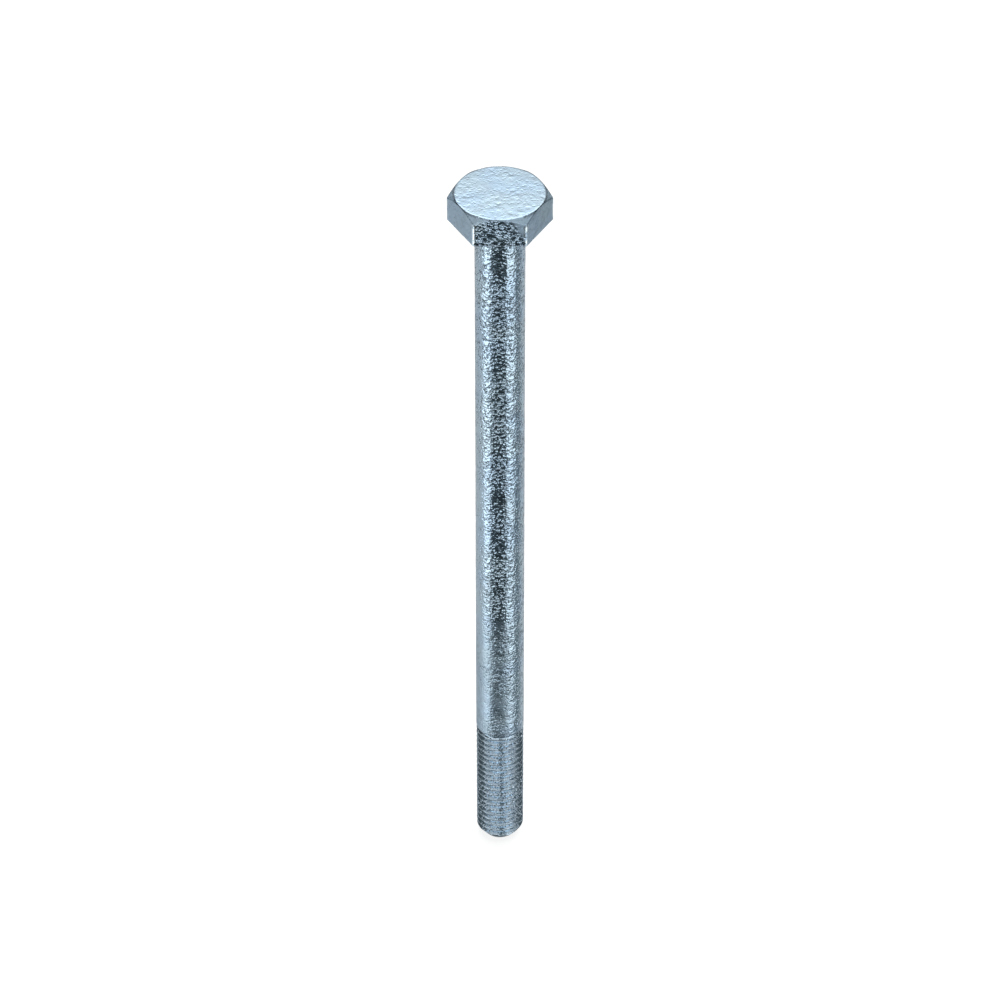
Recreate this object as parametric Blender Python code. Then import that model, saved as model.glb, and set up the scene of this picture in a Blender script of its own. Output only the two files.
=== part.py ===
"""Hex bolt, 1/4 in - 28 UNF x 4 in, partly threaded, zinc plated.

Metres, +Z up. The origin is the centre of the head's flat top face, and the
shank runs down -Z. Two corners of the hexagon lie on the X axis, so a flat
faces -Y and another +Y.

The bolt is one forging: head, shank and rolled thread are a single piece of
steel, so they are one closed body, skinned from rings of points from the top
of the head down to the end of the thread.
"""

import math

import bmesh
import bpy

MM = 0.001

# ---- driving dimensions -------------------------------------------------
ACROSS_FLATS = 11.11 * MM  # 7/16 in
HEAD_HEIGHT = 3.97 * MM  # 5/32 in
CORNER_RADIUS = 0.12 * MM  # the rounding of the six upright edges
CHAMFER_DIAMETER = 11.05 * MM  # the flat round top inside the head's chamfer
CHAMFER_ANGLE = math.radians(36.0)  # the chamfer's slope down from the top
UNDER_EDGE = 0.12 * MM  # the small bevel round the underside's rim

SHANK_DIAMETER = 6.24 * MM
UNDER_HEAD_RADIUS = 0.40 * MM  # the fillet where the shank meets the head
LENGTH = 101.60 * MM  # 4 in, from the underside of the head to the end

THREAD_PITCH = 25.4 * MM / 28  # 28 turns per inch
THREAD_MAJOR_DIAMETER = 6.16 * MM
THREAD_MINOR_DIAMETER = 5.20 * MM
THREAD_PITCH_DIAMETER = 5.70 * MM
THREAD_FLANK = math.radians(30.0)  # each flank's lean from square to the axis
THREAD_LENGTH = 19.05 * MM  # 3/4 in, from the end to the first groove
THREAD_RUNOUT = 1.10 * MM  # the height over which the grooves come to full depth
END_DIAMETER = 4.20 * MM  # the flat end, inside the thread's roots
END_CHAMFER = math.radians(37.0)  # from the axis

SHANK_SIDES = 36
HEAD_STEP = 5  # degrees between the head's columns of points

# ---- heights that follow from them --------------------------------------
Z_TOP = 0.0
Z_BEARING = -HEAD_HEIGHT
Z_END = -(HEAD_HEIGHT + LENGTH)
Z_FIRST_GROOVE = Z_END + THREAD_LENGTH
Z_THREAD_TOP = Z_FIRST_GROOVE + 0.33 * THREAD_PITCH

APOTHEM = ACROSS_FLATS / 2


def clear_scene():
    for obj in list(bpy.data.objects):
        bpy.data.objects.remove(obj, do_unlink=True)


def zinc_plate():
    material = bpy.data.materials.new("zinc_plated_steel")
    material.use_nodes = True
    shader = material.node_tree.nodes["Principled BSDF"]
    shader.inputs["Base Color"].default_value = (0.56, 0.64, 0.72, 1.0)
    shader.inputs["Metallic"].default_value = 1.0
    shader.inputs["Roughness"].default_value = 0.34
    return material


def hexagon_radius(angle):
    """Distance from the axis to the hexagon's outline, whose corners are arcs."""
    from_corner = abs((angle + math.pi / 6) % (math.pi / 3) - math.pi / 6)
    centre = (APOTHEM - CORNER_RADIUS) / math.cos(math.pi / 6)
    if from_corner >= corner_half_angle():
        return APOTHEM / math.cos(math.pi / 6 - from_corner)
    reach = centre * math.sin(from_corner)
    return centre * math.cos(from_corner) + math.sqrt(CORNER_RADIUS**2 - reach**2)


def corner_half_angle():
    """Half the angle, seen from the axis, that a corner's arc covers."""
    centre = (APOTHEM - CORNER_RADIUS) / math.cos(math.pi / 6)
    return math.atan2(
        CORNER_RADIUS * math.sin(math.pi / 6),
        centre + CORNER_RADIUS * math.cos(math.pi / 6),
    )


def head_angles():
    """Columns round the head: even steps, and three at each corner's arc."""
    half = corner_half_angle()
    angles = []
    for corner in range(0, 360, 60):
        angles += [math.radians(corner) - half]
        angles += [math.radians(corner)]
        angles += [math.radians(corner) + half]
        angles += [math.radians(corner + step) for step in range(HEAD_STEP, 60, HEAD_STEP)]
    return sorted(angle % (2 * math.pi) for angle in angles)


def shank_angles():
    return [2 * math.pi * i / SHANK_SIDES for i in range(SHANK_SIDES)]


def ring(bm, angles, radius, height):
    """A closed ring of points. radius and height are functions of the angle."""
    return [
        bm.verts.new(
            (
                radius(angle) * math.cos(angle),
                radius(angle) * math.sin(angle),
                height(angle),
            )
        )
        for angle in angles
    ]


def skin(bm, upper, lower):
    """Faces between two rings with the same columns, facing out."""
    n = len(upper)
    for i in range(n):
        j = (i + 1) % n
        bm.faces.new((upper[i], lower[i], lower[j], upper[j]))


def skin_uneven(bm, upper, upper_angles, lower, lower_angles):
    """Faces between a ring with many columns and one with fewer of them.

    Each lower column has an upper column at its own angle. The upper columns
    in between fan down to whichever lower column is nearer."""
    n, m = len(upper), len(lower)
    nearest = []
    for angle in upper_angles:
        gaps = [
            abs((angle - other + math.pi) % (2 * math.pi) - math.pi)
            for other in lower_angles
        ]
        nearest.append(gaps.index(min(gaps)))
    for i in range(n):
        j = (i + 1) % n
        a, b = nearest[i], nearest[j]
        if a == b:
            bm.faces.new((upper[i], lower[a], upper[j]))
        else:
            assert (a + 1) % m == b
            bm.faces.new((upper[i], lower[a], lower[b], upper[j]))


def thread_rows():
    """One pitch of the thread: (offset down the axis, share of the depth)."""
    crest_radius = THREAD_MAJOR_DIAMETER / 2
    root_radius = THREAD_MINOR_DIAMETER / 2
    pitch_radius = THREAD_PITCH_DIAMETER / 2
    half_crest = THREAD_PITCH / 4 - (crest_radius - pitch_radius) * math.tan(THREAD_FLANK)
    half_root = THREAD_PITCH / 4 - (pitch_radius - root_radius) * math.tan(THREAD_FLANK)
    return [
        (-half_crest, 0.0),
        (half_crest, 0.0),
        (THREAD_PITCH / 2 - half_root, 1.0),
        (THREAD_PITCH / 2 + half_root, 1.0),
    ]


def smooth(t):
    t = min(1.0, max(0.0, t))
    return t * t * (3 - 2 * t)


def thread_radius(z, depth_share):
    """Radius at height z of a row of the thread.

    The grooves come to full depth over the run-out, and the end's chamfer
    cuts everything off below it."""
    full = smooth((Z_THREAD_TOP - z) / THREAD_RUNOUT)
    crest = SHANK_DIAMETER / 2 + full * (THREAD_MAJOR_DIAMETER - SHANK_DIAMETER) / 2
    groove = (THREAD_MAJOR_DIAMETER - THREAD_MINOR_DIAMETER) / 2
    chamfer = END_DIAMETER / 2 + (z - Z_END) * math.tan(END_CHAMFER)
    return min(crest - full * depth_share * groove, chamfer)


def skin_thread(bm, top, end, angles):
    """The thread between the shank's last ring and the ring of the flat end.

    Its rows follow the right-hand helix: one turn on, row j meets row j - 4.
    A row that would start above the top ring or finish below the end ring
    joins that ring's own point instead, so the surface stays closed."""
    rows = thread_rows()
    # a root is centred on the front of the bolt at the first groove's height
    reference = Z_FIRST_GROOVE + THREAD_PITCH / 2 - 0.75 * THREAD_PITCH
    margin = 2
    first = -len(rows) * margin
    last = len(rows) * (int(THREAD_LENGTH / THREAD_PITCH) + 1 + margin)
    made = {}

    def point(column, row):
        while column >= SHANK_SIDES:
            column, row = column - SHANK_SIDES, row - len(rows)
        turn, k = divmod(row, len(rows))
        offset, depth_share = rows[k]
        angle = angles[column]
        z = reference - turn * THREAD_PITCH - offset + THREAD_PITCH * angle / (2 * math.pi)
        if z >= Z_THREAD_TOP:
            return top[column]
        if z <= Z_END:
            return end[column]
        if (column, row) not in made:
            radius = thread_radius(z, depth_share)
            made[column, row] = bm.verts.new(
                (radius * math.cos(angle), radius * math.sin(angle), z)
            )
        return made[column, row]

    for row in range(first, last):
        for column in range(SHANK_SIDES):
            corners = (
                point(column, row),
                point(column, row + 1),
                point(column + 1, row + 1),
                point(column + 1, row),
            )
            distinct = []
            for corner in corners:
                if corner not in distinct:
                    distinct.append(corner)
            if len(distinct) >= 3:
                bm.faces.new(distinct)


def hex_bolt():
    bm = bmesh.new()
    wide, narrow = head_angles(), shank_angles()
    flat_radius = CHAMFER_DIAMETER / 2
    shank_radius = SHANK_DIAMETER / 2

    # the head: flat round top, chamfer, six flats, bevelled underside rim
    top_edge = ring(bm, wide, lambda a: flat_radius, lambda a: Z_TOP)
    bm.faces.new(top_edge)
    chamfer_edge = ring(
        bm,
        wide,
        hexagon_radius,
        lambda a: Z_TOP - (hexagon_radius(a) - flat_radius) * math.tan(CHAMFER_ANGLE),
    )
    skin(bm, top_edge, chamfer_edge)
    lower_edge = ring(bm, wide, hexagon_radius, lambda a: Z_BEARING + UNDER_EDGE)
    skin(bm, chamfer_edge, lower_edge)
    rim = ring(bm, wide, lambda a: hexagon_radius(a) - UNDER_EDGE, lambda a: Z_BEARING)
    skin(bm, lower_edge, rim)

    # the bearing face, from that rim in to the fillet, and the fillet itself
    outer = ring(
        bm, narrow, lambda a: shank_radius + UNDER_HEAD_RADIUS, lambda a: Z_BEARING
    )
    skin_uneven(bm, rim, wide, outer, narrow)
    above = outer
    for step in (1, 2, 3):
        turn = math.radians(90 - 30 * step)
        below = ring(
            bm,
            narrow,
            lambda a: shank_radius + UNDER_HEAD_RADIUS * (1 - math.cos(turn)),
            lambda a: Z_BEARING - UNDER_HEAD_RADIUS * (1 - math.sin(turn)),
        )
        skin(bm, above, below)
        above = below

    # the plain shank, the thread and the flat end
    shank_end = ring(bm, narrow, lambda a: shank_radius, lambda a: Z_THREAD_TOP)
    skin(bm, above, shank_end)
    end_edge = ring(bm, narrow, lambda a: END_DIAMETER / 2, lambda a: Z_END)
    skin_thread(bm, shank_end, end_edge, narrow)
    bm.faces.new(list(reversed(end_edge)))

    mesh = bpy.data.meshes.new("hex_bolt")
    bm.to_mesh(mesh)
    bm.free()
    mesh.materials.append(zinc_plate())
    mesh.shade_smooth()
    mesh.set_sharp_from_angle(angle=math.radians(24))
    bolt = bpy.data.objects.new("hex_bolt", mesh)
    bpy.context.scene.collection.objects.link(bolt)
    return bolt


def main():
    clear_scene()
    hex_bolt()


main()
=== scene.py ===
"""Looks for the hex bolt: a fine-meshed, zinc-plated bolt that stands for the
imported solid, a white floor and backdrop, soft studio light and the camera.

Lengths in the modelling part are in millimetres, and become metres when the
mesh is made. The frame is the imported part's: the origin is the centre of the
head's flat top, and the shank runs down -Z."""

import math

import bpy
import numpy as np
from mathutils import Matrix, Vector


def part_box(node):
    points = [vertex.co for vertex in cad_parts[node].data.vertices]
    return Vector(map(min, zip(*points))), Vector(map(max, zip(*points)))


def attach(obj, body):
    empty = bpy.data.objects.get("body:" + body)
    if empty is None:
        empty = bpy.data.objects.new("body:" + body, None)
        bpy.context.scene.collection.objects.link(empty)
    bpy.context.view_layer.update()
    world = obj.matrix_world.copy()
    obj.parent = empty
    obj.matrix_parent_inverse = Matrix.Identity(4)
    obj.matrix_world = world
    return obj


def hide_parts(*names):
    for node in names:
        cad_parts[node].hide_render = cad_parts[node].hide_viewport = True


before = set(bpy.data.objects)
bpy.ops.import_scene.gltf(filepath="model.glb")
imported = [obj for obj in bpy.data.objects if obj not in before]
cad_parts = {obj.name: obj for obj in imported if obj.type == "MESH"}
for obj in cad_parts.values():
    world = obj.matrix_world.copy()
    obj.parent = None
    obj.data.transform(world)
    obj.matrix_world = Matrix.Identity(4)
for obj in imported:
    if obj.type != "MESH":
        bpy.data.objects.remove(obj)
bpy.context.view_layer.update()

# ------------------------------------------------------------------ sizes, mm
BOX_LOW, BOX_HIGH = (np.array(corner) * 1000.0 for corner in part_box("hex_bolt"))
Z_END = BOX_LOW[2]
APOTHEM = BOX_HIGH[1]
HEAD_HEIGHT = 3.97
CORNER_RADIUS = 0.22
HEAD_OVER = 1.010  # the plated head is this much wider than its nominal size
CHAMFER_RADIUS = 10.98 / 2
CHAMFER_SLOPE = math.tan(math.radians(38.0))
EDGE_SOFTNESS = 0.09
Z_BEARING = -HEAD_HEIGHT
SHANK_RADIUS = 6.24 / 2
FILLET = 0.40
SWELL = 0.045  # how much wider the shank's radius is just under the head
SWELL_LENGTH = 5.5
COAT = 0.032  # how much thicker the plating gets towards the thread
UNDER_EDGE = 0.05
EDGE_WEAR = 0.085  # how far the front and back upright edges of the head are worn flat

PITCH = 25.4 / 28
CREST_RADIUS = 6.16 / 2
ROOT_RADIUS = 5.20 / 2
PITCH_RADIUS = 5.70 / 2
THREAD_LENGTH = 19.05
RUNOUT = 1.10
END_RADIUS = 4.20 / 2
END_TAPER = math.tan(math.radians(37.0))
Z_FIRST_GROOVE = Z_END + THREAD_LENGTH
Z_THREAD_TOP = Z_FIRST_GROOVE + 0.33 * PITCH

COLUMNS = 120  # round the shank and the thread
ROW_STEP = 0.19  # down the shank
FLAT_COLUMNS = 36  # across each of the head's flats


# ------------------------------------------------------------------ noise
def lattice(ix, iy, iz, seed):
    """A number from 0 to 1 for each whole-number point, the same every time."""
    h = (
        ix.astype(np.uint32) * np.uint32(0x8DA6B343)
        ^ iy.astype(np.uint32) * np.uint32(0xD8163841)
        ^ iz.astype(np.uint32) * np.uint32(0xCB1AB31F)
        ^ np.uint32((seed * 0x9E3779B1) & 0xFFFFFFFF)
    )
    h ^= h >> np.uint32(15)
    h *= np.uint32(0x2C1B3C6D)
    h ^= h >> np.uint32(12)
    h *= np.uint32(0x297A2D39)
    h ^= h >> np.uint32(15)
    return h.astype(np.float64) / 4294967296.0


# turns the noise's grid away from the part's own axes, so no grid shows
TURN = np.array([[0.36, 0.48, -0.8], [-0.8, 0.6, 0.0], [0.48, 0.64, 0.6]])


def noise(p, seed):
    """Smooth value noise from -1 to 1 at points p, with features one unit apart."""
    p = p @ TURN
    cell = np.floor(p).astype(np.int64)
    f = p - cell
    u = f * f * f * (f * (f * 6 - 15) + 10)
    total = np.zeros(len(p))
    for dx in (0, 1):
        for dy in (0, 1):
            for dz in (0, 1):
                weight = (
                    (u[:, 0] if dx else 1 - u[:, 0])
                    * (u[:, 1] if dy else 1 - u[:, 1])
                    * (u[:, 2] if dz else 1 - u[:, 2])
                )
                total += weight * lattice(
                    cell[:, 0] + dx, cell[:, 1] + dy, cell[:, 2] + dz, seed
                )
    return total * 2 - 1


def pits(p, seed, share):
    """Depth from 0 to 1 of round dents, one or none in each unit cell of space."""
    p = p @ TURN
    cell = np.floor(p).astype(np.int64)
    depth = np.zeros(len(p))
    for dx in (-1, 0, 1):
        for dy in (-1, 0, 1):
            for dz in (-1, 0, 1):
                c = cell + np.array([dx, dy, dz])
                at = np.stack(
                    [lattice(c[:, 0], c[:, 1], c[:, 2], seed + k) for k in (1, 2, 3)],
                    axis=1,
                )
                kept = lattice(c[:, 0], c[:, 1], c[:, 2], seed + 4) < share
                size = 0.25 + 0.35 * lattice(c[:, 0], c[:, 1], c[:, 2], seed + 5)
                away = np.linalg.norm(p - c - at, axis=1) / size
                bowl = np.clip(1 - away * away, 0, 1) ** 2
                depth = np.maximum(depth, np.where(kept, bowl, 0))
    return depth


def step(x, low, high):
    t = np.clip((x - low) / (high - low), 0, 1)
    return t * t * (3 - 2 * t)


# ------------------------------------------------------------------ mesh
class Skin:
    """Points and faces of one closed surface, in millimetres."""

    def __init__(self):
        self.points, self.faces, self.count = [], [], 0

    def ring(self, radii, angles, heights):
        radii = np.broadcast_to(np.asarray(radii, float), angles.shape)
        heights = np.broadcast_to(np.asarray(heights, float), angles.shape)
        self.points.append(
            np.stack([radii * np.cos(angles), radii * np.sin(angles), heights], axis=1)
        )
        start = self.count
        self.count += len(angles)
        return np.arange(start, self.count)

    def point(self, x, y, z):
        self.points.append(np.array([[x, y, z]]))
        self.count += 1
        return self.count - 1

    def join(self, upper, lower):
        n = len(upper)
        for i in range(n):
            j = (i + 1) % n
            self.faces.append((upper[i], lower[i], lower[j], upper[j]))

    def zip(self, upper, upper_angles, lower, lower_angles):
        """Triangles between two rings with different columns, whose angles rise from about 0."""
        n, m = len(upper), len(lower)
        i = j = 0
        while i < n or j < m:
            next_upper = upper_angles[i + 1] if i + 1 < n else upper_angles[0] + 2 * math.pi
            next_lower = lower_angles[j + 1] if j + 1 < m else lower_angles[0] + 2 * math.pi
            a, b = upper[i % n], lower[j % m]
            if j >= m or (i < n and next_upper <= next_lower):
                self.faces.append((a, b, upper[(i + 1) % n]))
                i += 1
            else:
                self.faces.append((a, b, lower[(j + 1) % m]))
                j += 1


def even(n):
    return np.arange(n) * (2 * math.pi / n)


def head_columns():
    """Angles round the head, evenly spaced across each flat and round each corner."""
    centre = (APOTHEM - CORNER_RADIUS) / math.cos(math.pi / 6)
    half_width = centre * math.sin(math.pi / 6)
    angles = []
    for corner in range(6):
        base = math.radians(60 * corner)
        for turn in np.radians([-24, -12, 0, 12, 24]):
            x = centre + CORNER_RADIUS * math.cos(turn)
            y = CORNER_RADIUS * math.sin(turn)
            angles.append(base + math.atan2(y, x))
        for along in np.linspace(-half_width, half_width, FLAT_COLUMNS + 1):
            angles.append(base + math.pi / 6 + math.atan2(along, APOTHEM))
    return np.sort(np.array(angles) % (2 * math.pi))


def hexagon_radius(angles):
    from_corner = np.abs((angles + math.pi / 6) % (math.pi / 3) - math.pi / 6)
    centre = (APOTHEM - CORNER_RADIUS) / math.cos(math.pi / 6)
    turn = math.atan2(
        CORNER_RADIUS * math.sin(math.pi / 6),
        centre + CORNER_RADIUS * math.cos(math.pi / 6),
    )
    flat = APOTHEM / np.cos(math.pi / 6 - from_corner)
    reach = np.minimum(centre * np.sin(from_corner), CORNER_RADIUS)
    arc = centre * np.cos(from_corner) + np.sqrt(CORNER_RADIUS**2 - reach**2)
    return np.where(from_corner >= turn, flat, arc)


def rounded(before, corner, after, reach, steps):
    """Points of a small curve that rounds a corner. Each argument is (radii, heights)."""
    flat = np.broadcast_arrays(*before, *corner, *after)
    b, c, a = (np.array(flat[k : k + 2], float) for k in (0, 2, 4))
    to_b, to_a = b - c, a - c
    length_b, length_a = np.hypot(*to_b), np.hypot(*to_a)
    start = c + to_b / length_b * np.minimum(reach, 0.45 * length_b)
    end = c + to_a / length_a * np.minimum(reach, 0.45 * length_a)
    return [
        (1 - t) ** 2 * start + 2 * t * (1 - t) * c + t * t * end
        for t in np.linspace(0, 1, steps)
    ]


def along(corners, s):
    """The point at arc length s on each column's profile. Each corner is (radii, heights)."""
    start, found = 0.0, None
    for a, b in zip(corners[:-1], corners[1:]):
        length = np.hypot(*(b - a))
        piece = a + (b - a) * np.clip((s - start) / length, 0, 1)
        found = piece if found is None else np.where(s > start, piece, found)
        start = start + length
    return found


def softened(corners, first, last, steps, reach):
    """Rows of a profile between two arc lengths, averaged over a short reach to round its corners."""
    rows = []
    for t in np.linspace(0, 1, steps):
        s = first + (last - first) * t
        near = [along(corners, s + reach * u) for u in np.linspace(-1, 1, 9)]
        rows.append(sum(near) / len(near))
    return rows


def disc(skin, edge, angles, radius, height, spacing, up):
    """A flat round face in rings of evenly spaced points, in from a ring that is already there."""
    rings = int(radius / spacing)
    outer, outer_angles = edge, angles
    for k in range(1, rings):
        r = radius * (1 - k / rings)
        inner_angles = even(max(6, int(round(2 * math.pi * r / spacing))))
        inner = skin.ring(r, inner_angles, height)
        if up:
            skin.zip(inner, inner_angles, outer, outer_angles)
        else:
            skin.zip(outer, outer_angles, inner, inner_angles)
        outer, outer_angles = inner, inner_angles
    centre = skin.point(0, 0, height)
    n = len(outer)
    for i in range(n):
        a, b = outer[i], outer[(i + 1) % n]
        skin.faces.append((centre, a, b) if up else (centre, b, a))


def thread_profile():
    """Rows of one pitch: (offset down the axis from the crest's middle, share of the depth).

    Flat crest and root, straight flanks leaning 30 degrees, each corner softened."""
    slope = math.tan(math.radians(30.0))
    half_crest = PITCH / 4 - (CREST_RADIUS - PITCH_RADIUS) * slope
    half_root = PITCH / 4 - (PITCH_RADIUS - ROOT_RADIUS) * slope
    soft = 0.035
    flank = PITCH / 2 - half_crest - half_root
    offsets = [0.0, half_crest - soft, half_crest + soft * 0.4, half_crest + soft * 2.2]
    offsets += [PITCH / 2 - half_root - soft * 2.2, PITCH / 2 - half_root + soft * 0.4]
    offsets = offsets + [PITCH / 2] + [PITCH - o for o in offsets[:0:-1]]

    def depth(o):
        o = abs((o + PITCH / 2) % PITCH - PITCH / 2)
        return min(1.0, max(0.0, (o - half_crest) / flank))

    rows = []
    for o in offsets:
        spread = [depth(o + d * soft) for d in (-1.0, -0.5, 0.0, 0.5, 1.0)]
        rows.append((o, sum(spread) / len(spread)))
    return rows


def coat(z):
    return COAT * float(step(-z, 25.0, 95.0))


def thread_radius(z, share):
    full = float(step(Z_THREAD_TOP - z, 0.0, RUNOUT))
    crest = SHANK_RADIUS + full * (CREST_RADIUS - SHANK_RADIUS)
    chamfer = END_RADIUS + (z - Z_END) * END_TAPER
    return min(crest - full * share * (CREST_RADIUS - ROOT_RADIUS), chamfer) + coat(z)


def add_thread(skin, top, end, angles):
    """The right-hand thread between the shank's last ring and the flat end's ring."""
    rows = thread_profile()
    per_turn = len(rows)
    reference = Z_FIRST_GROOVE + PITCH / 2 - 0.75 * PITCH
    first, last = -2 * per_turn, per_turn * (int(THREAD_LENGTH / PITCH) + 3)
    n = len(angles)
    made, new_points = {}, []

    def point(column, row):
        while column >= n:
            column, row = column - n, row - per_turn
        key = (column, row)
        if key in made:
            return made[key]
        turn, k = divmod(row, per_turn)
        offset, share = rows[k]
        angle = angles[column]
        z = reference - turn * PITCH - offset + PITCH * angle / (2 * math.pi)
        if z >= Z_THREAD_TOP - 0.004:
            made[key] = int(top[column])
        elif z <= Z_END + 0.004:
            made[key] = int(end[column])
        else:
            r = thread_radius(z, share)
            made[key] = skin.count + len(new_points)
            new_points.append((r * math.cos(angle), r * math.sin(angle), z))
        return made[key]

    for row in range(first, last):
        for column in range(n):
            corners = []
            for c, r in ((0, 0), (0, 1), (1, 1), (1, 0)):
                p = point(column + c, row + r)
                if p not in corners:
                    corners.append(p)
            if len(corners) >= 3:
                skin.faces.append(tuple(corners))
    skin.points.append(np.array(new_points))
    skin.count += len(new_points)


def bolt_skin():
    skin = Skin()
    wide, narrow = head_columns(), even(COLUMNS)
    outline = hexagon_radius(wide) * HEAD_OVER
    drop = (outline - CHAMFER_RADIUS) * CHAMFER_SLOPE

    # profile down the head: flat top, chamfer, side, underside
    flat = np.ones(len(wide))
    corners = [
        np.array([flat * (CHAMFER_RADIUS - 0.4), flat * 0.0]),
        np.array([flat * CHAMFER_RADIUS, flat * 0.0]),
        np.array([outline, -drop]),
        np.array([outline, flat * Z_BEARING]),
    ]
    chamfer = np.hypot(*(corners[2] - corners[1]))
    rows = softened(corners, 0.22, 0.58 + chamfer, 15, EDGE_SOFTNESS)
    side_corner = (outline, -drop)
    rim_corner = (outline, Z_BEARING)
    inside_rim = (outline - 0.6, Z_BEARING)
    side_top, side_bottom = rows[-1][1], Z_BEARING + UNDER_EDGE + 0.01
    side_rows = 20
    for k in range(1, side_rows):
        t = k / side_rows
        rows.append(np.array([outline, side_top + (side_bottom - side_top) * t]))
    rows += rounded(side_corner, rim_corner, inside_rim, UNDER_EDGE, 5)
    above = None
    first_ring = None
    for radii, heights in rows:
        below = skin.ring(radii, wide, heights)
        if above is None:
            first_ring = below
        else:
            skin.join(above, below)
        above = below
    disc(skin, first_ring, wide, CHAMFER_RADIUS - 0.18, 0.0, 0.17, True)

    # the bearing face, in to the fillet
    rim = rows[-1][0]
    inner = SHANK_RADIUS + SWELL + FILLET
    for k in range(1, 9):
        t = k / 10
        below = skin.ring(rim + (inner - rim) * t, wide, Z_BEARING)
        skin.join(above, below)
        above = below
    outer = skin.ring(inner, narrow, Z_BEARING)
    skin.zip(above, wide, outer, narrow)
    above = outer
    for turn in np.radians([75, 60, 45, 30, 15, 0]):
        below = skin.ring(
            SHANK_RADIUS + SWELL + FILLET * (1 - math.cos(turn)),
            narrow,
            Z_BEARING - FILLET * (1 - math.sin(turn)),
        )
        skin.join(above, below)
        above = below

    # the shank
    start = Z_BEARING - FILLET
    count = int(round((start - Z_THREAD_TOP) / ROW_STEP))
    for k in range(1, count + 1):
        z = start + (Z_THREAD_TOP - start) * k / count
        swell = SWELL * (1 - float(step(start - z, 0.0, SWELL_LENGTH)))
        below = skin.ring(SHANK_RADIUS + swell + coat(z), narrow, z)
        skin.join(above, below)
        above = below

    # the thread and the flat end
    end = skin.ring(END_RADIUS + coat(Z_END), narrow, Z_END)
    add_thread(skin, above, end, narrow)
    disc(skin, end, narrow, END_RADIUS + coat(Z_END), Z_END, 0.22, False)
    return np.concatenate(skin.points), skin.faces


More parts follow.
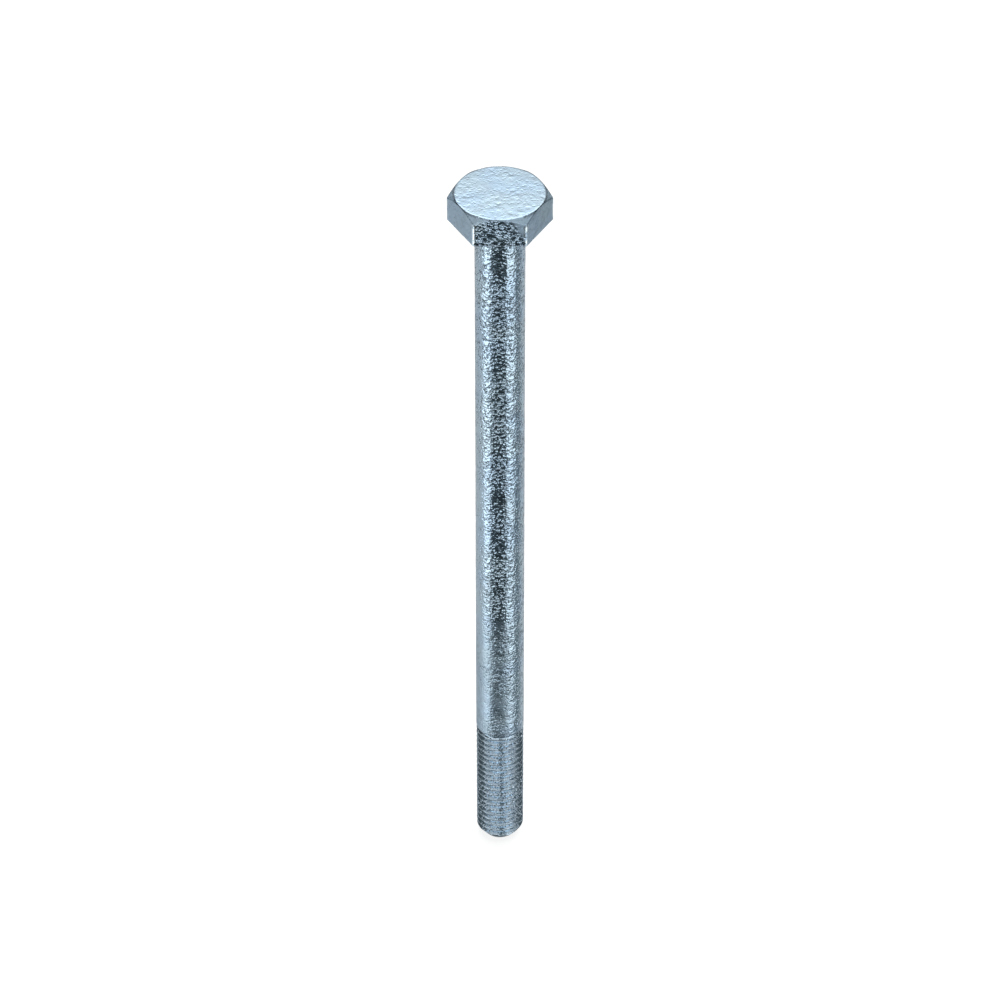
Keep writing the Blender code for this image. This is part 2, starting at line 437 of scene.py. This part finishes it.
def relief(p):
    """How far the plated surface stands out at each point, in millimetres, and what it is like there."""
    x, y, z = p[:, 0], p[:, 1], p[:, 2]
    on_top = step(z, -0.06, -0.01)
    on_side = (1 - on_top) * step(z, Z_BEARING - 0.02, Z_BEARING + 0.1)
    on_thread = step(-z, -Z_THREAD_TOP - 0.3, -Z_THREAD_TOP + 0.9)
    on_shank = (z < Z_BEARING) * (1 - on_thread)
    # the trimmed flats are smoother than the rest, apart from torn patches low on the front and back
    around = np.arctan2(y, x)
    flat = np.floor(np.degrees(around) / 60.0)
    torn = np.where(
        (flat == -2) | (flat == 1),
        step(-z - 1.1 * np.maximum(x - 0.4, -0.35) + 0.8 * noise(p * 1.3, 31), -0.75, 0.75),
        0.25 * step(noise(p * 0.45, 32), 0.1, 0.7),
    )
    # and not on the chamfer, except where it is a narrow line at the middle of a flat
    below_cone = -z - (np.hypot(x, y) - CHAMFER_RADIUS) * CHAMFER_SLOPE
    narrow = step(-np.hypot(x, y), -5.90, -5.72)
    torn = torn * np.maximum(step(below_cone, -0.04, 0.10), narrow)
    # the shank's relief comes in rough and smoother stretches, and fades towards the thread
    patchy = step(noise(p * np.array([0.34, 0.34, 0.22]), 33), -0.75, 0.25)
    faded = step(-z, 58.0, 78.0) * on_shank
    smoother = step(-x, 0.2, 1.8) * step(-z, 22.0, 42.0)
    coarse = (0.35 + 0.65 * patchy) * (1 - 0.25 * faded) * (1 - 0.40 * smoother)
    coarse = np.where(z < Z_BEARING, coarse, 1.0)
    coarse = np.where(on_side > 0.5, 0.26 + 0.66 * torn, coarse)
    coarse = coarse * (1 - 0.55 * on_thread)
    wave = 0.015 * noise(p * 0.75, 1) + 0.010 * noise(p * 1.3, 2)
    fine = 0.010 * noise(p * 2.2, 3)
    dents = -0.018 * pits(p * 1.6, 11, 0.45) - 0.016 * pits(p * 2.3, 21, 0.5)
    # faint rings left round the shank by the drawing and straightening of the wire
    ringed = 0.006 * noise(np.stack([x * 0.12, y * 0.12, z * 2.4], axis=1), 5)
    lift = coarse * (fine + dents) + (0.4 + 0.6 * coarse) * wave + ringed * on_shank
    # the flat top has shallow, soft bumps and a slight crown
    bumps = 0.010 * noise(p * 0.9, 41) + 0.004 * noise(p * 1.7, 42)
    bumps = bumps + 0.030 * pits(p * 1.0, 51, 0.4) - 0.030 * pits(p * 1.2, 61, 0.4)
    bumps = bumps + 0.010 * pits(p * 1.9, 71, 0.4) - 0.008 * pits(p * 2.1, 81, 0.3)
    crown = -0.035 * (np.hypot(x, y) / CHAMFER_RADIUS) ** 4
    lift = lift + (bumps + crown - lift) * on_top
    coarse = coarse * (1 - 0.85 * on_top)
    dull = on_side * (1 - coarse) * np.where((flat == -2) | (flat == 1), 1.25 - 1.1 * torn, 1.0)
    soft_patch = step(noise(p * np.array([0.5, 0.5, 0.35]), 35), -0.7, 0.2)
    dull = dull + 0.66 * faded * (0.6 + 0.4 * soft_patch) * (1 - 0.75 * step(x, 0.5, 1.5))
    # the head's upright edges are rubbed smoother and glossier, and carry a painted highlight: the material paints
    # their colour brighter
    off_corner = np.abs((around + math.pi / 6) % (math.pi / 3) - math.pi / 6)
    rubbed_and_highlight = on_side * step(-off_corner * np.hypot(x, y), -0.34, -0.20) * step(-z, 0.8, 1.0)
    rubbed_and_highlight = rubbed_and_highlight * step(noise(p * 1.9, 34), -0.55, -0.15)
    coarse = coarse * (1 - 0.8 * rubbed_and_highlight)
    # and the ones at the front and back are worn flat
    worn = np.hypot(x, y) * np.cos(off_corner) - (HEAD_OVER * APOTHEM / math.cos(math.pi / 6) - EDGE_WEAR)
    worn = np.clip(worn, 0, EDGE_WEAR) * on_side * step(-z, 0.8, 1.0) * (np.abs(y) > 2.0)
    lift = lift * (1 - 0.75 * rubbed_and_highlight) - 1.1 * worn
    dull = dull * (1 - rubbed_and_highlight)
    # the lower rim of the front and back flats leans in a little, and is painted darker: painted shade along the
    # head's bottom edge
    rim_shade_and_line = on_side * step(-z, 3.62, 3.84) * ((flat == -2) | (flat == 1))
    lift = lift - 0.05 * rim_shade_and_line
    # and the line where the chamfer just meets each flat is dark, with gaps on the torn ones
    line = on_side * step(-np.hypot(x, y), -5.84, -5.68) * step(-below_cone, -0.10, -0.02)
    gaps = step(noise(p * 2.6, 36), -0.5, 0.2) * torn
    line = line * np.where((flat == -2) | (flat == 1), gaps, 1.0)
    dull = dull * (1 - 0.7 * line)
    return lift, {
        "coarse": coarse,
        "dull": dull,
        "threaded": on_thread,
        "rubbed_and_highlight": rubbed_and_highlight * (1 - rim_shade_and_line),
        "rim_shade_and_line": np.maximum(rim_shade_and_line, 0.75 * line),
    }


def make_bolt():
    points, faces = bolt_skin()
    mesh = bpy.data.meshes.new("hex_bolt_zinc")
    mesh.from_pydata((points * 0.001).tolist(), [], faces)
    mesh.validate()
    mesh.update()
    normals = np.zeros(len(mesh.vertices) * 3, np.float32)
    mesh.vertex_normals.foreach_get("vector", normals)
    normals = normals.reshape(-1, 3).astype(float)
    lift, traits = relief(points)
    points = points + normals * lift[:, None]
    mesh.vertices.foreach_set("co", (points * 0.001).astype(np.float32).ravel())
    for name, values in traits.items():
        attribute = mesh.attributes.new(name, "FLOAT", "POINT")
        attribute.data.foreach_set("value", values.astype(np.float32))
    mesh.update()
    mesh.shade_smooth()
    bolt = bpy.data.objects.new("hex_bolt_zinc", mesh)
    bpy.context.scene.collection.objects.link(bolt)
    return bolt


# ------------------------------------------------------------------ material
class Nodes:
    """Short names for building a node tree."""

    def __init__(self, tree):
        self.tree = tree

    def add(self, kind, settings=None, inputs=None):
        node = self.tree.nodes.new(kind)
        for name, value in (settings or {}).items():
            setattr(node, name, value)
        for name, value in (inputs or {}).items():
            self.put(node.inputs[name], value)
        return node

    def put(self, socket, value):
        if isinstance(value, bpy.types.NodeSocket):
            self.tree.links.new(value, socket)
        else:
            socket.default_value = value

    def math(self, operation, a, b=0.0, c=None, clamp=False):
        node = self.tree.nodes.new("ShaderNodeMath")
        node.operation = operation
        node.use_clamp = clamp
        self.put(node.inputs[0], a)
        self.put(node.inputs[1], b)
        if c is not None:
            self.put(node.inputs[2], c)
        return node.outputs[0]

    def smooth(self, value, low, high, to_low=0.0, to_high=1.0):
        node = self.tree.nodes.new("ShaderNodeMapRange")
        node.interpolation_type = "SMOOTHSTEP"
        self.put(node.inputs["Value"], value)
        node.inputs["From Min"].default_value = low
        node.inputs["From Max"].default_value = high
        node.inputs["To Min"].default_value = to_low
        node.inputs["To Max"].default_value = to_high
        return node.outputs["Result"]

    def mix(self, factor, a, b):
        node = self.tree.nodes.new("ShaderNodeMix")
        node.data_type = "RGBA"
        self.put(node.inputs["Factor"], factor)
        self.put(node.inputs[6], a)
        self.put(node.inputs[7], b)
        return node.outputs[2]

    def ramp(self, value, stops, interpolation="EASE"):
        node = self.tree.nodes.new("ShaderNodeValToRGB")
        ramp = node.color_ramp
        ramp.interpolation = interpolation
        for i, (at, shade) in enumerate(stops):
            element = ramp.elements[i] if i < 2 else ramp.elements.new(at)
            element.position = at
            element.color = (shade, shade, shade, 1.0)
        self.put(node.inputs[0], value)
        return node.outputs[0]


def zinc():
    material = bpy.data.materials.new("zinc_plated_steel")
    material.use_nodes = True
    n = Nodes(material.node_tree)
    shader = material.node_tree.nodes["Principled BSDF"]
    place = n.add("ShaderNodeTexCoord").outputs["Object"]
    mm = n.add("ShaderNodeMapping", inputs={"Vector": place, "Scale": (1000, 1000, 1000)}).outputs[0]
    coarse = n.add("ShaderNodeAttribute", {"attribute_name": "coarse"}).outputs["Fac"]

    def noise_of(scale, detail, roughness=0.5, vector=mm):
        return n.add(
            "ShaderNodeTexNoise",
            {"noise_dimensions": "3D"},
            {"Vector": vector, "Scale": scale, "Detail": detail, "Roughness": roughness},
        ).outputs["Fac"]

    grain = noise_of(2.2, 0.6, 0.5)
    fine = noise_of(4.4, 0.0)
    broad = noise_of(0.55, 2.0)
    hue = noise_of(0.23, 1.0)

    def pits_of(scale, reach):
        cells = n.add(
            "ShaderNodeTexVoronoi",
            {"feature": "F1", "distance": "EUCLIDEAN"},
            {"Vector": mm, "Scale": scale, "Randomness": 1.0},
        )
        return n.smooth(cells.outputs["Distance"], 0.0, reach)

    pit = pits_of(2.15, 0.46)
    small_pit = pits_of(3.2, 0.40)

    stretched = n.add(
        "ShaderNodeMapping", inputs={"Vector": place, "Scale": (260, 260, 4200)}
    ).outputs[0]
    drawn = noise_of(1.0, 2.0, 0.5, stretched)

    height = n.math("MULTIPLY", grain, 0.55)
    height = n.math("MULTIPLY_ADD", fine, 0.12, height)
    height = n.math("MULTIPLY_ADD", pit, 0.76, height)
    height = n.math("MULTIPLY_ADD", small_pit, 0.34, height)
    height = n.math("MULTIPLY_ADD", drawn, 0.10, height)
    strength = n.math("MULTIPLY_ADD", coarse, 0.95, 0.05, clamp=True)
    bump = n.add(
        "ShaderNodeBump",
        inputs={"Strength": strength, "Distance": 0.00015, "Height": height},
    )
    material.node_tree.links.new(bump.outputs[0], shader.inputs["Normal"])

    cool = n.mix(n.smooth(hue, 0.35, 0.65), (0.56, 0.745, 0.92, 1), (0.60, 0.775, 0.90, 1))
    greyer = n.mix(n.smooth(broad, 0.5, 0.75, 0.0, 0.45), cool, (0.50, 0.62, 0.73, 1))
    # light that bounces in a groove picks the tint up twice, so the plating is paler there
    threaded = n.add("ShaderNodeAttribute", {"attribute_name": "threaded"}).outputs["Fac"]
    greyer = n.mix(threaded, greyer, (0.57, 0.71, 0.83, 1))
    # painted shade in the dents: their centres are painted darker where the relief is coarse
    colour = n.mix(n.math("MULTIPLY", n.smooth(pit, 0.1, 0.8, 0.45, 0.0), coarse), greyer, (0.22, 0.27, 0.33, 1))
    # faint darker clouds in the plating
    cloud = n.smooth(noise_of(1.1, 3.0, 0.6), 0.48, 0.72, 0.0, 0.40)
    colour = n.mix(cloud, colour, (0.44, 0.54, 0.65, 1))
    # painted highlight on the head's upright edges: their colour is painted bright
    rubbed_and_highlight = n.add("ShaderNodeAttribute", {"attribute_name": "rubbed_and_highlight"}).outputs["Fac"]
    colour = n.mix(rubbed_and_highlight, colour, (0.78, 0.92, 1.0, 1))
    # painted shade along the lower rim of the front and back flats, and the dark line where the chamfer meets each
    # flat
    rim_shade_and_line = n.add("ShaderNodeAttribute", {"attribute_name": "rim_shade_and_line"}).outputs["Fac"]
    colour = n.mix(n.math("MULTIPLY", rim_shade_and_line, 0.75), colour, (0.16, 0.19, 0.24, 1))
    material.node_tree.links.new(colour, shader.inputs["Base Color"])

    rough = n.smooth(broad, 0.3, 0.75, 0.08, 0.17)
    dull = n.add("ShaderNodeAttribute", {"attribute_name": "dull"}).outputs["Fac"]
    rough = n.math("MULTIPLY_ADD", dull, 0.40, rough)
    rough = n.math("MULTIPLY_ADD", fine, 0.06, rough, clamp=True)
    material.node_tree.links.new(rough, shader.inputs["Roughness"])
    shader.inputs["Metallic"].default_value = 1.0
    return material


# ------------------------------------------------------------------ studio
def studio_world():
    """Soft panels all round: what the metal mirrors. It is a function of direction only.

    Bright soft panels stand low at the left and the right, a big one hangs
    behind and above, and it is dark in front, low behind, and far below."""
    world = bpy.data.worlds.new("studio")
    bpy.context.scene.world = world
    world.use_nodes = True
    tree = world.node_tree
    n = Nodes(tree)
    background = tree.nodes["Background"]
    direction = n.add("ShaderNodeTexCoord").outputs["Generated"]
    axes = n.add("ShaderNodeSeparateXYZ", inputs={"Vector": direction})
    x, y, z = axes.outputs
    # azimuth as a share of a turn: 0.5 is the front (-Y), 0.75 the right, 0 and 1 behind
    azimuth = n.math("MULTIPLY_ADD", n.math("ARCTAN2", x, n.math("MULTIPLY", y, -1.0)), 0.5 / math.pi, 0.5)

    def at(degrees):
        return 0.5 + degrees / 360.0

    # the sweep: bright behind, darker at the right and in front
    sweep = n.ramp(
        azimuth,
        [
            (0.0, 0.52),
            (at(-134), 0.50),
            (at(-85), 0.52),
            (at(-62), 0.28),
            (at(-36), 0.05),
            (at(0), 0.03),
            (at(36), 0.05),
            (at(84), 0.17),
            (at(104), 0.23),
            (at(120), 0.60),
            (at(134), 0.54),
            (1.0, 0.52),
        ],
    )
    sweep = n.math("MULTIPLY", sweep, n.smooth(z, -0.97, -0.72, 0.03, 1.0))
    sweep = n.math("MULTIPLY", sweep, n.smooth(z, -0.48, -0.24, 1.0, 0.10))
    # the pale floor right below
    sweep = n.math("ADD", sweep, n.smooth(z, -0.975, -0.905, 0.42, 0.0))
    # two upright soft panels, low at the left and the right
    left = n.math("MULTIPLY", n.smooth(azimuth, at(-82), at(-76)), n.smooth(azimuth, at(-47), at(-40), 1.0, 0.0))
    right = n.math("MULTIPLY", n.smooth(azimuth, at(28), at(35)), n.smooth(azimuth, at(64), at(76), 1.0, 0.0))
    left = n.math("MULTIPLY", left, n.smooth(z, -0.695, -0.612, 0.03, 1.32))
    right = n.math("MULTIPLY", right, n.smooth(z, -0.71, -0.61, 0.22, 1.22))
    panels = n.math("MULTIPLY", n.math("ADD", left, right), n.smooth(z, -0.95, -0.80))
    panels = n.math("MULTIPLY", panels, n.smooth(z, -0.40, -0.08, 1.0, 0.15))
    # soft fill from the front, which grows towards the horizon
    ahead = n.math("MULTIPLY", n.smooth(azimuth, at(-62), at(-30)), n.smooth(azimuth, at(30), at(62), 1.0, 0.0))
    fill = n.math("MULTIPLY", ahead, n.smooth(z, -0.62, 0.03, 0.0, 1.45))
    # it comes through slats, so the metal's small bumps pick it up sideways as well as up and down
    turn = n.math("MULTIPLY", n.math("SUBTRACT", azimuth, 0.5), 2.0 * math.pi * 180.0 / 26.0)
    slats = n.math("POWER", n.math("ABSOLUTE", n.math("SINE", turn)), 2.0)
    fill = n.math("MULTIPLY", fill, n.math("MULTIPLY_ADD", slats, 1.0, 0.50))
    # and it has a gap near the horizon, a little right of its middle
    gap = n.math("MULTIPLY", n.smooth(x, -0.16, -0.05), n.smooth(x, 0.12, 0.24, 1.0, 0.0))
    fill = n.math("MULTIPLY", fill, n.math("MULTIPLY_ADD", n.math("MULTIPLY", gap, n.smooth(z, -0.35, -0.10)), -0.7, 1.0))
    low = n.math("ADD", sweep, n.math("ADD", panels, fill))

    across = n.math("ABSOLUTE", x)
    # a big soft panel behind and above, with darker sides
    behind = n.math("MULTIPLY", n.smooth(y, 0.15, 0.6), n.smooth(across, 0.42, 0.66, 1.0, 0.0))
    behind = n.math("MULTIPLY", behind, n.smooth(z, 0.22, 0.42))
    behind = n.math("MULTIPLY", behind, n.smooth(z, 0.40, 0.92, 0.50, 1.90))
    # two strips overhead, at the left and right of the camera
    strips = n.math("ADD", n.smooth(x, -0.22, -0.07, 1.0, 0.0), n.smooth(x, 0.13, 0.28))
    strips = n.math("MULTIPLY", strips, n.smooth(across, 0.48, 0.64, 1.0, 0.0))
    strips = n.math("MULTIPLY", strips, n.smooth(z, 0.62, 0.80))
    # and two further out at the sides
    outer = n.math("MULTIPLY", n.smooth(across, 0.48, 0.60), n.smooth(z, 0.15, 0.40))
    outer = n.math("MULTIPLY", outer, n.smooth(z, 0.72, 0.80, 1.0, 0.0))
    outer = n.math("MULTIPLY", outer, n.math("MULTIPLY", n.smooth(y, -0.42, -0.26), n.smooth(y, 0.0, 0.14, 1.0, 0.0)))
    # a panel above the camera, which lights the rounded edges and pits
    front = n.math("MULTIPLY", n.smooth(y, -0.70, -0.45, 1.0, 0.0), n.smooth(z, 0.72, 0.85, 1.0, 0.0))
    # with the same gap
    front = n.math("MULTIPLY", front, n.math("MULTIPLY_ADD", gap, -0.9, 1.0))
    rim = n.math("MULTIPLY", n.smooth(y, 0.35, 0.62), n.smooth(z, 0.20, 0.36, 0.55, 0.0))
    high = n.math("MULTIPLY_ADD", behind, 0.90, n.smooth(z, 0.1, 0.7, 0.03, 0.11))
    high = n.math("MULTIPLY_ADD", strips, 0.52, high)
    high = n.math("MULTIPLY_ADD", outer, 0.50, high)
    high = n.math("MULTIPLY_ADD", front, 0.66, high)
    high = n.math("ADD", high, rim)
    light = n.math(
        "ADD",
        n.math("MULTIPLY", low, n.smooth(z, -0.05, 0.1, 1.0, 0.0)),
        n.math("MULTIPLY", high, n.smooth(z, -0.05, 0.1, 0.0, 1.0)),
    )
    # the dim surroundings are bluer than the lamps
    warm = n.smooth(light, 0.0, 0.5, 0.78, 1.0)
    tint = n.add("ShaderNodeCombineColor", inputs={
        "Red": n.math("MULTIPLY", light, warm),
        "Green": n.math("MULTIPLY", light, n.smooth(light, 0.0, 0.5, 0.95, 1.0)),
        "Blue": n.math("MULTIPLY", light, 1.0),
    })
    tree.links.new(tint.outputs[0], background.inputs["Color"])
    background.inputs["Strength"].default_value = 1.0


def stage_material(name, strength, albedo):
    material = bpy.data.materials.new(name)
    material.use_nodes = True
    tree = material.node_tree
    n = Nodes(tree)
    out = next(node for node in tree.nodes if node.type == "OUTPUT_MATERIAL")
    glow = n.add("ShaderNodeEmission", inputs={"Color": (1, 1, 1, 1), "Strength": strength}).outputs[0]
    matte = n.add("ShaderNodeBsdfDiffuse", inputs={"Color": (albedo, albedo, albedo, 1)}).outputs[0]
    surface = n.add("ShaderNodeAddShader")
    tree.links.new(glow, surface.inputs[0])
    tree.links.new(matte, surface.inputs[1])
    surface = surface.outputs[0]
    clear = n.add("ShaderNodeBsdfTransparent").outputs[0]
    back = n.add("ShaderNodeNewGeometry").outputs["Backfacing"]
    both = n.add("ShaderNodeMixShader")
    tree.links.new(back, both.inputs[0])
    tree.links.new(surface, both.inputs[1])
    tree.links.new(clear, both.inputs[2])
    tree.links.new(both.outputs[0], out.inputs["Surface"])
    return material


def stage():
    """A white floor that the bolt stands on, and a plain white backdrop all round."""
    n = 96
    ring = [(3.0 * math.cos(a), 3.0 * math.sin(a), 0.0) for a in even(n)]
    mesh = bpy.data.meshes.new("floor")
    mesh.from_pydata(ring, [], [list(range(n))])
    mesh.materials.append(stage_material("floor_white", 0.84, 0.20))
    floor = bpy.data.objects.new("floor", mesh)
    floor.location = (0, 0, Z_END * 0.001 - 0.00005)
    bpy.context.scene.collection.objects.link(floor)
    floor.visible_glossy = False

    skin = Skin()
    angles = even(64)
    above = None
    for k in range(1, 32):
        tilt = math.pi * k / 32
        below = skin.ring(4.0 * math.sin(tilt), angles, 4.0 * math.cos(tilt))
        if above is not None:
            skin.join(above, below)
        above = below
    mesh = bpy.data.meshes.new("backdrop")
    faces = [tuple(reversed([int(i) for i in f])) for f in skin.faces]
    faces.append(tuple(range(64)))
    faces.append(tuple(reversed([int(i) for i in above])))
    mesh.from_pydata(np.concatenate(skin.points).tolist(), [], faces)
    mesh.materials.append(stage_material("backdrop_white", 1.02, 0.0))
    backdrop = bpy.data.objects.new("backdrop", mesh)
    bpy.context.scene.collection.objects.link(backdrop)
    for name in ("visible_glossy", "visible_diffuse", "visible_transmission", "visible_shadow", "visible_volume_scatter"):
        setattr(backdrop, name, False)


def lights():
    """One wide soft lamp overhead, for the floor and the bolt's faint shadow on it."""
    data = bpy.data.lights.new("overhead", "SUN")
    data.energy = 3.1
    data.angle = math.radians(70)
    lamp = bpy.data.objects.new("overhead", data)
    lamp.rotation_euler = (math.radians(-18), math.radians(8), 0)
    bpy.context.scene.collection.objects.link(lamp)
    lamp.visible_glossy = False


def camera():
    """The viewing angle: from the front, 39.7 degrees above, with a long lens."""
    data = bpy.data.cameras.new("camera")
    data.lens = 168.2
    data.sensor_width = 36.0
    data.clip_start, data.clip_end = 0.01, 60.0
    cam = bpy.data.objects.new("camera", data)
    elevation, distance = math.radians(39.657), 0.5953
    cam.location = (
        0.0,
        -distance * math.cos(elevation),
        Z_BEARING * 0.001 - 0.04428 + distance * math.sin(elevation),
    )
    cam.rotation_euler = (math.pi / 2 - elevation, 0, 0)
    bpy.context.scene.collection.objects.link(cam)
    bpy.context.scene.camera = cam


camera()
bolt = make_bolt()
bolt.data.materials.append(zinc())
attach(bolt, "root")
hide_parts("hex_bolt")
studio_world()
stage()
lights()
bpy.context.scene.view_settings.view_transform = "Standard"
bpy.context.scene.view_settings.look = "None"
